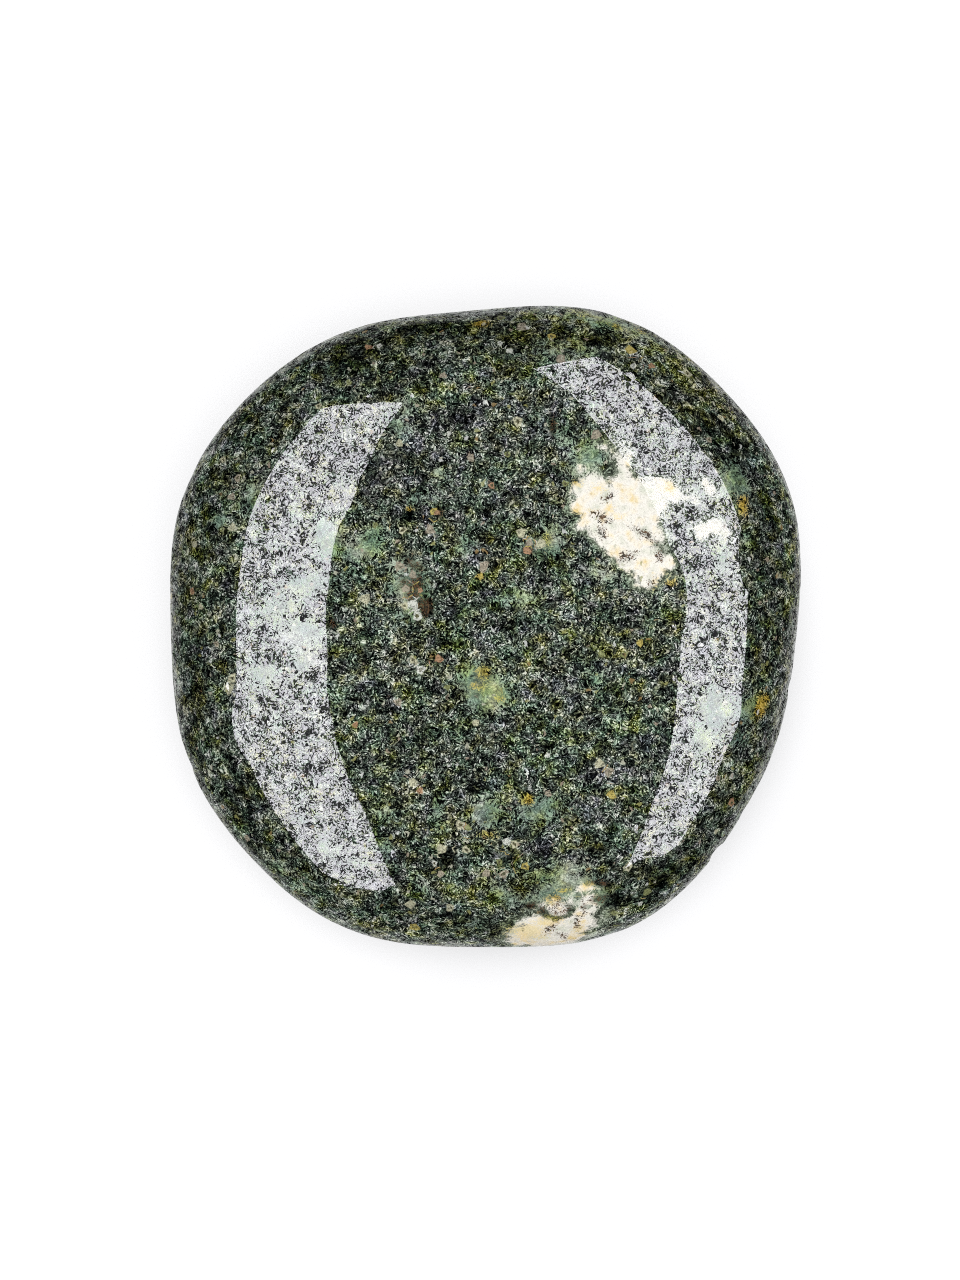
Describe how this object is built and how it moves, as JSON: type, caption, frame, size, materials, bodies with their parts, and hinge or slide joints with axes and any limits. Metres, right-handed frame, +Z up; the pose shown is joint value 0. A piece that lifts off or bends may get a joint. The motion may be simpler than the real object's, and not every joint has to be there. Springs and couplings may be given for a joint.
{
  "type": "preseli bluestone palm stone",
  "caption": "Flat rounded pebble of polished spotted dolerite, dark green with cream patches; rests on a small flat spot, fits the palm, works as a paperweight.",
  "frame": {"origin": "under the middle of the outline, on the surface that the stone rests on", "axes": "+Z up through the domed face; +Y along the slightly longer way of the outline, the top of the picture; +X to the picture's right"},
  "size_m": [0.06, 0.061, 0.0215],
  "materials": {
    "spotted_dolerite": "polished"
  },
  "bodies": {
    "root": {"bluestone_palm_stone": "spotted_dolerite"}
  },
  "joints": []
}
